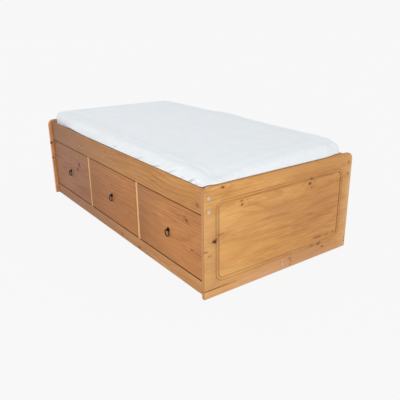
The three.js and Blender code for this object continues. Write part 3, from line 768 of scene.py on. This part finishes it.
# How far the sheet swells out over the foot panel, and over the front rail at its rim and below
FOOT_SWELL, FRONT_BULGE, FRONT_SWELL = 19 * MM, 12 * MM, 23 * MM
# How far it lies above the wood, and how much of it drops and tucks under on each side
LIE, TUCK = 1.7 * MM, 0.26
# The row of side points that first lies on the wood
REST_ROW = 16


def eased(value, start, end):
    """The smooth step 3 t^2 - 2 t^3 of a value between start and end."""
    t = np.clip((value - start) / (end - start), 0, 1)
    return t * t * (3 - 2 * t)


def top_height(x, y):
    """The height of the sheet's top. Across, it is a parabola through the front rim, the middle
    and the back rim, and the front rim sinks towards the foot. It also drops at both ends."""
    u, v = x / HALF[0], y / HALF[1]
    head = np.exp(-((u + 1) / 0.12) ** 2)
    front = 0.5935 - 0.0095 * u + 0.018 * head
    middle = 0.6290 - 0.0020 * u - 0.007 * head
    back = 0.6255 - 0.0040 * u ** 2 + 0.011 * np.exp(-((x + 0.02) / 0.16) ** 2)
    height = middle + (back - front) / 2 * v + ((back + front) / 2 - middle) * v ** 2
    height -= (0.013 - 0.005 * v) * eased(x, HALF[0] - 0.13 + 0.04 * v, HALF[0]) ** 1.5
    return height - (0.012 + 0.006 * v) * eased(-x, HALF[0] - 0.14, HALF[0])


def slackness(x):
    """How slack the sheet hangs over the front rail: pulled tight at the head, slack further on."""
    return eased(x, -0.88, -0.30)


def side_levels(hem, bow):
    """The rows of points down the side, as (half size, corner radius, anchor, lift, swell). The
    anchor is 0 at the rim, 1 on the rails' and panels' tops and 2 at the underside, and the lift is
    above it. swell is the share of how far the sheet swells out over the rail or the panel. The rim
    rolls over along a superellipse with the power 2 / bow, curls back in on the wood, runs down
    inside it and rolls under."""
    levels = []
    for t in np.linspace(0, np.pi / 2, REST_ROW + 1)[1:]:
        out = (np.sin(t) ** bow)[:, None]
        down = 1 - np.maximum(np.cos(t), 0.0) ** bow
        corner = RIM_CORNER + (SIDE_CORNER - RIM_CORNER) * out
        levels.append((RIM + (SIDE - RIM) * out, corner, down, CURL * down, out))
    corner = SIDE_CORNER
    for t in np.linspace(0, np.pi / 2, 5)[1:]:
        levels.append((SIDE - CURL * (1 - np.cos(t)), corner, 1.0, CURL * (1 - np.sin(t)), 1.0))
    for share in (0.5, 1.0):
        levels.append((SIDE - CURL * (1 - share), corner, 1.0, 0.0, 1 - share))
    for share in np.linspace(0, 1, 7)[1:]:
        levels.append((SIDE, corner, 1 + share, LOWER_ROLL * share, 0.0))
    for t in np.linspace(0, np.pi / 2, 7)[1:]:
        levels.append((SIDE - LOWER_ROLL * (1 - np.cos(t)), corner, 2.0, LOWER_ROLL * (1 - np.sin(t)), 0.0))
    for share in (np.linspace(0, 1, 6)[1:] if hem else ()):
        levels.append((SIDE - LOWER_ROLL - hem * share, corner, 2.0, 0.0, 0.0))
    return levels


def drawn_in(points):
    """Draws in the two corners where the sheet is pulled tight: the front one at the head, and the
    back one at the foot, more at its rim than on the panel."""
    x, y, z = points.T
    head = eased(-x, 0.80, 0.93) * eased(-y, 0.33, 0.44)
    raised = eased(z, PANEL_TOP, PANEL_TOP + 0.03)
    foot = eased(x, 0.82, 0.94) * eased(y, 0.28, 0.43) * (0.75 + 0.25 * raised)
    shift = head[:, None] * (8, 6, 0) - foot[:, None] * (16, 31, 0)
    return points + shift * MM


def padded_block(cell, inset=0.0, hem=0.0):
    """A block of padding: a grid for its top, and rows of points down its side. inset shrinks it
    all round and keeps it inside the wood. Returns the points, the faces and the rows from the rim
    down.

    In a corner's square the grid is drawn into a quarter disc: x sqrt(1 - y^2 / 2), and the same
    for y, both in corner radii."""
    corner = RIM_CORNER
    columns, rows = np.round(2 * RIM / cell).astype(int)
    gx, gy = np.meshgrid(np.linspace(-RIM[0], RIM[0], columns + 1), np.linspace(-RIM[1], RIM[1], rows + 1))
    over_x = np.maximum(np.abs(gx) - (RIM[0] - corner), 0) / corner
    over_y = np.maximum(np.abs(gy) - (RIM[1] - corner), 0) / corner
    x = np.sign(gx) * (np.abs(gx) + corner * over_x * (np.sqrt(1 - over_y ** 2 / 2) - 1))
    y = np.sign(gy) * (np.abs(gy) + corner * over_y * (np.sqrt(1 - over_x ** 2 / 2) - 1))
    y += FRONT_BULGE * slackness(x) * eased(-y, 0.25, RIM[1])
    top = np.stack([x, y, top_height(x, y) - inset], -1).reshape(-1, 3)
    index = np.arange(len(top)).reshape(rows + 1, columns + 1)
    quads = np.stack([index[:-1, :-1], index[:-1, 1:], index[1:, 1:], index[1:, :-1]], -1).reshape(-1, 4)
    loop = np.concatenate([index[0, :-1], index[:-1, -1], index[-1, :0:-1], index[:0:-1, 0]])

    # Each rim point is an inner rectangle's point plus a step outwards, and so is every row's.
    rim = top[loop]
    inner = RIM - corner
    nearest = np.clip(rim[:, :2], -inner, inner)
    outward = rim[:, :2] - nearest
    outward /= np.linalg.norm(outward, axis=1)[:, None]
    ends = eased(np.abs(outward[:, 0]), 0.60, 0.78)
    rest = RAIL_TOP + (PANEL_TOP - RAIL_TOP) * ends + LIE - inset
    floor = UNDERSIDE + 0.5 * MM + inset
    slack = slackness(nearest[:, 0]) * eased(-outward[:, 1], 0.0, 0.8)
    swollen = np.stack([FOOT_SWELL * eased(outward[:, 0], 0.3, 0.9), -FRONT_SWELL * slack], -1)
    swollen *= inset == 0
    rings = [rim]
    for half, radius, anchor, lift, swell in side_levels(hem, 0.5 + 0.8 * slack):
        plan = nearest / inner * (half - inset - radius) + outward * radius
        plan += swollen * swell
        sunk, deeper = np.minimum(anchor, 1), np.maximum(np.subtract(anchor, 1), 0)
        height = rim[:, 2] + (rest - rim[:, 2]) * sunk + (floor - rest) * deeper + lift
        rings.append(np.concatenate([plan, height[:, None]], -1))
    rings = np.array(rings)
    size = len(loop)
    rows_down = np.concatenate([loop[None], len(top) + np.arange((len(rings) - 1) * size).reshape(-1, size)])
    upper, lower = rows_down[:-1], rows_down[1:]
    skirt = np.stack([upper, lower, np.roll(lower, -1, 1), np.roll(upper, -1, 1)], -1).reshape(-1, 4)
    points = drawn_in(np.concatenate([top, rings[1:].reshape(-1, 3)]))
    return points, np.concatenate([quads, skirt]), rows_down


def mattress_core():
    """The mattress under the sheet, in ticking."""
    points, faces, rows_down = padded_block(20 * MM, inset=10 * MM)
    last = rows_down[-1]
    middle = np.full(len(last), len(points))
    faces = [*faces, *np.stack([last, middle, np.roll(last, -1)], -1)]
    points = np.concatenate([points, [[0, 0, points[last, 2].mean()]]])
    piece = add_piece("mattress_core", points, faces, ticking, BEDSTEAD, "white_cotton", ["mattress"])


def crease(spots, start, end, wide, tall):
    """How far a fold lifts each spot: tall on its middle line, falling as exp(-(d / wide)^2) to
    its sides, and easing to nothing at both ends as the 0.6th power of a half sine."""
    start, end = np.array(start), np.array(end)
    run = end - start
    away = spots - start
    share = np.clip(away @ run / (run @ run), 0, 1)
    gap = np.linalg.norm(away - share[:, None] * run, axis=1)
    return tall * np.exp(-(gap / wide) ** 2) * np.sin(np.pi * np.clip(share, 0.03, 0.97)) ** 0.6


def soft_noise(points, size, seed):
    """Smooth noise: 30 plane waves about size metres long, with random headings and phases."""
    chance = np.random.default_rng(seed)
    heading = chance.normal(size=(3, 30))
    heading /= np.linalg.norm(heading, axis=0)
    pace = 2 * np.pi / (size * chance.uniform(0.7, 1.6, 30))
    return np.sin(points @ (heading * pace) + chance.uniform(0, 2 * np.pi, 30)).sum(1) / 30 ** 0.5


# The sheet's folds, each as where it starts and ends, its width and its height, all in millimetres,
# and how much shade is painted into it. Places are (x, z) on the front, (y, z) on the foot and (x, y) on the
# top.
FOLDS = {
    "front": (
        # Tucks where the sheet is pushed down behind the rail, each beside a small bulge, with painted shade
        # in each tuck
        ((322, 545), (395, 572), 5, -4, 0.45), ((305, 550), (380, 580), 7, 2.5, 0),
        ((497, 545), (573, 567), 5, -4, 0.6), ((480, 550), (552, 573), 7, 2.5, 0),
        ((638, 545), (716, 578), 5, -3.5, 0.4), ((620, 550), (694, 580), 7, 2.5, 0),
        ((771, 545), (788, 566), 5, -3.5, 0.5), ((755, 550), (770, 572), 7, 2, 0),
        ((825, 546), (868, 572), 5, -6, 0.8), ((805, 550), (846, 577), 8, 3.5, 0),
        ((885, 545), (912, 560), 5, -3, 0.35), ((36, 562), (106, 570), 7, -3.5, 0.25),
        ((-295, 560), (-253, 553), 6, -3, 0.3), ((-442, 598), (-427, 562), 7, -2.5, 0.1),
        ((-570, 600), (-542, 555), 7, -2.5, 0.12), ((-700, 606), (-660, 560), 8, -2.5, 0.05),
        # Shade along the rail, with no height
        ((-950, 575), (-560, 562), 34, 0, 0.24), ((-620, 560), (80, 558), 22, 0, 0.16),
        ((40, 562), (700, 562), 22, 0, 0.08),
    ),
    "foot": (
        # The upright folds at the near corner, and the long ridge that the foot panel pushes up
        ((-480, 592), (-478, 556), 5, -3, 0.3), ((-466, 596), (-464, 562), 6, 3.5, 0),
        ((-392, 590), (-370, 562), 5, -2.5, 0.12), ((-322, 566), (-270, 580), 5, -2.5, 0.15),
        ((-315, 575), (-120, 589), 5, 3, 0), ((-140, 588), (270, 596), 5, 2.6, 0),
    ),
    "top": (
        # The mattress's piped seam shows through, and short pulls run in from it.
        ((280, -424), (500, -430), 9, 3.6, 0), ((460, -424), (560, -392), 9, 3, 0),
        ((690, -414), (950, -430), 9, 3.4, 0), ((540, -395), (650, -390), 9, 2.8, 0),
        ((390, -390), (507, -362), 7, -3.5, 0.06), ((560, -372), (650, -368), 7, -3, 0.05),
        ((700, -396), (930, -408), 8, -2, 0.03),
    ),
}


def sheet_folds(points):
    """How far the sheet's folds lift each point off its smooth shape, and how much shade is painted into
    them.
    """
    x, y, z = points.T / MM
    on_rail = eased(z, 549, 556)
    views = {"front": (x, z, y < -350), "foot": (y, z, x > 880), "top": (x, y, z > 565)}
    lift, shade_and_grime = np.zeros(len(points)), np.zeros(len(points))
    for view, folds in FOLDS.items():
        across, up, seen = views[view]
        spots = np.stack([across, up], -1)
        for start, end, wide, tall, dark in folds:
            fold = crease(spots, start, end, wide, 1.0) * seen
            lift += tall * MM * fold
            shade_and_grime = np.maximum(shade_and_grime, dark * fold)
    return np.where(y < -440, lift * on_rail, lift), shade_and_grime


def vectors_of(items, name):
    """The vector of that name of every item, such as each vertex's place, as rows."""
    vectors = np.zeros(len(items) * 3)
    items.foreach_get(name, vectors)
    return vectors.reshape(-1, 3)


def settled(piece, slack, reach, growth):
    """Lets the cloth settle: it grows a little, air pushes it out, and it buckles where slack is
    1 and is held where slack is 0. No point may move further than reach."""
    frames = 16
    held = piece.vertex_groups.new(name="held")
    for index, weight in enumerate(1 - slack):
        held.add([index], weight, "REPLACE")
    cloth = piece.modifiers.new("cloth", "CLOTH")
    cloth.settings.vertex_group_mass = "held"
    cloth.settings.quality = 4
    cloth.settings.shrink_min = -growth
    cloth.settings.bending_stiffness = 2.0
    cloth.settings.use_pressure = True
    cloth.settings.uniform_pressure_force = 4.0
    cloth.settings.effector_weights.gravity = 0.0
    cloth.collision_settings.use_collision = False
    cloth.point_cache.frame_end = frames
    for step in range(1, frames + 1):
        scene.frame_set(step)
    rest = vectors_of(piece.data.vertices, "co")
    evaluated = piece.evaluated_get(bpy.context.evaluated_depsgraph_get())
    moved = vectors_of(evaluated.data.vertices, "co") - rest
    piece.modifiers.remove(cloth)
    piece.vertex_groups.remove(held)
    scene.frame_set(1)
    far = np.linalg.norm(moved, axis=1)[:, None]
    return rest + moved * np.minimum(1, reach / np.maximum(far, 1e-9))


def fitted_sheet():
    """The fitted sheet: a skin outside the mattress's ticking, with its hem turned under. It
    settles first, and its folds come after that."""
    points, faces, rows_down = padded_block((8 * MM, 6 * MM), hem=90 * MM)
    piece = add_piece("fitted_sheet", points, faces, white_cotton, BEDSTEAD, "white_cotton")
    smooth, outward = points, vectors_of(piece.data.vertex_normals, "vector")
    shown = np.ones(len(points))
    shown[rows_down[REST_ROW + 1:]] = 0
    rim = np.minimum(HALF[0] - np.abs(points[:, 0]), HALF[1] - np.abs(points[:, 1]))
    near = np.maximum(eased(-points[:, 1], 0.0, 0.35), eased(points[:, 0], 0.5, 0.85))
    slack = shown * eased(-rim, -0.14, -0.06) * (0.3 + 0.7 * near)
    slack[rows_down[REST_ROW - 1:]] = 0
    points = settled(piece, slack, reach=3.5 * MM, growth=0.012)
    piece.data.vertices.foreach_set("co", points.ravel())
    piece.data.update()
    lift, shade_and_grime = sheet_folds(points)
    lift += 0.3 * MM * soft_noise(points, size=0.25, seed=5)
    lift += 0.15 * MM * soft_noise(points, size=0.09, seed=8)
    points = points + vectors_of(piece.data.vertex_normals, "vector") * (lift * shown)[:, None]
    # No tuck goes deeper than this, so the ticking doesn't show through.
    deepest = -6 * MM
    depth = ((points - smooth) * outward).sum(1)
    points = points + outward * (np.maximum(depth, deepest) - depth)[:, None]
    piece.data.vertices.foreach_set("co", points.ravel())
    set_shade_and_grime(piece.data, shade_and_grime)
    piece.data.update()


mattress_core()
fitted_sheet()


# Studio

def studio_floor():
    """A pale floor with no seam in sight, and the same pale wall of light behind it."""
    material, add = new_material("pale_floor")
    share = add("Math", add("LightPath", out="Is Camera Ray"), 0.97, operation="MULTIPLY")
    matt = add("BsdfDiffuse", hue("F4F4F4"))
    glow = add("Emission", hue("F8F8F8"), 1.0)
    add("OutputMaterial", add("MixShader", share, matt, glow))
    reach = 30.0
    mesh = bpy.data.meshes.new("floor")
    corners = [(x * reach, y * reach, 0.0) for x, y in ((-1, -1), (1, -1), (1, 1), (-1, 1))]
    mesh.from_pydata(corners, [], [(0, 1, 2, 3)])
    mesh.materials.append(material)
    floor = new_object("floor", mesh)
    floor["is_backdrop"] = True


def studio_world():
    """Even pale light from all round, with the photograph's background where the camera sees it."""
    world = bpy.data.worlds.new("studio")
    scene.world = world
    add = partial(put, empty_tree(world))
    soft = add("Background", hue("F4F6FA"), 0.91)
    pale = add("Background", hue("F7F7F7"), 1.0)
    add("OutputWorld", add("MixShader", add("LightPath", out="Is Camera Ray"), soft, pale))


def softbox(name, place, aim, size, power):
    """A white lamp with a wide rectangle of light that looks from its place at aim."""
    lamp = bpy.data.lights.new(name, "AREA")
    lamp.shape = "RECTANGLE"
    lamp.size, lamp.size_y = size
    lamp.energy = power
    thing = new_object(name, lamp)
    thing.location = place
    thing.rotation_euler = (Vector(aim) - Vector(place)).to_track_quat("-Z", "Y").to_euler()


studio_floor()
studio_world()
softbox("key_right", (3.1, -2.6, 0.9), aim=(0.7, -0.2, 0.3), size=(1.8, 1.4), power=27)
softbox("fill_front", (-0.9, -4.5, 2.2), aim=(0.0, 0.0, 0.3), size=(3.0, 2.0), power=13)


def photo_camera():
    """The photograph's camera: its bearing, rise and roll in radians, its distance, its aim and its
    focal length in pixels were fitted to the bed's edges."""
    bearing, rise, roll, distance = 0.95576, 0.355646, -0.013177, 3.2736
    frame_pixels, focal_pixels, sensor = 400, 496, 36.0
    aim = Vector((0.1277, 0.0814, 0.1260))
    back = Vector((np.sin(bearing) * np.cos(rise), -np.cos(bearing) * np.cos(rise), np.sin(rise)))
    right = (-back).cross(Vector((0, 0, 1))).normalized()
    up = right.cross(-back)
    lens = bpy.data.cameras.new("photo_camera")
    lens.sensor_width = sensor
    lens.sensor_fit = "HORIZONTAL"
    lens.lens = sensor * focal_pixels / frame_pixels
    camera = new_object("photo_camera", lens)
    turn = Matrix((right, up, back)).transposed().to_4x4() @ Matrix.Rotation(roll, 4, "Z")
    camera.matrix_world = Matrix.Translation(aim + back * distance) @ turn
    scene.camera = camera


photo_camera()

boxes = {"cad": cad_box, "visual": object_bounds()}
{name: [list(map(float, corner)) for corner in box] for name, box in boxes.items()}
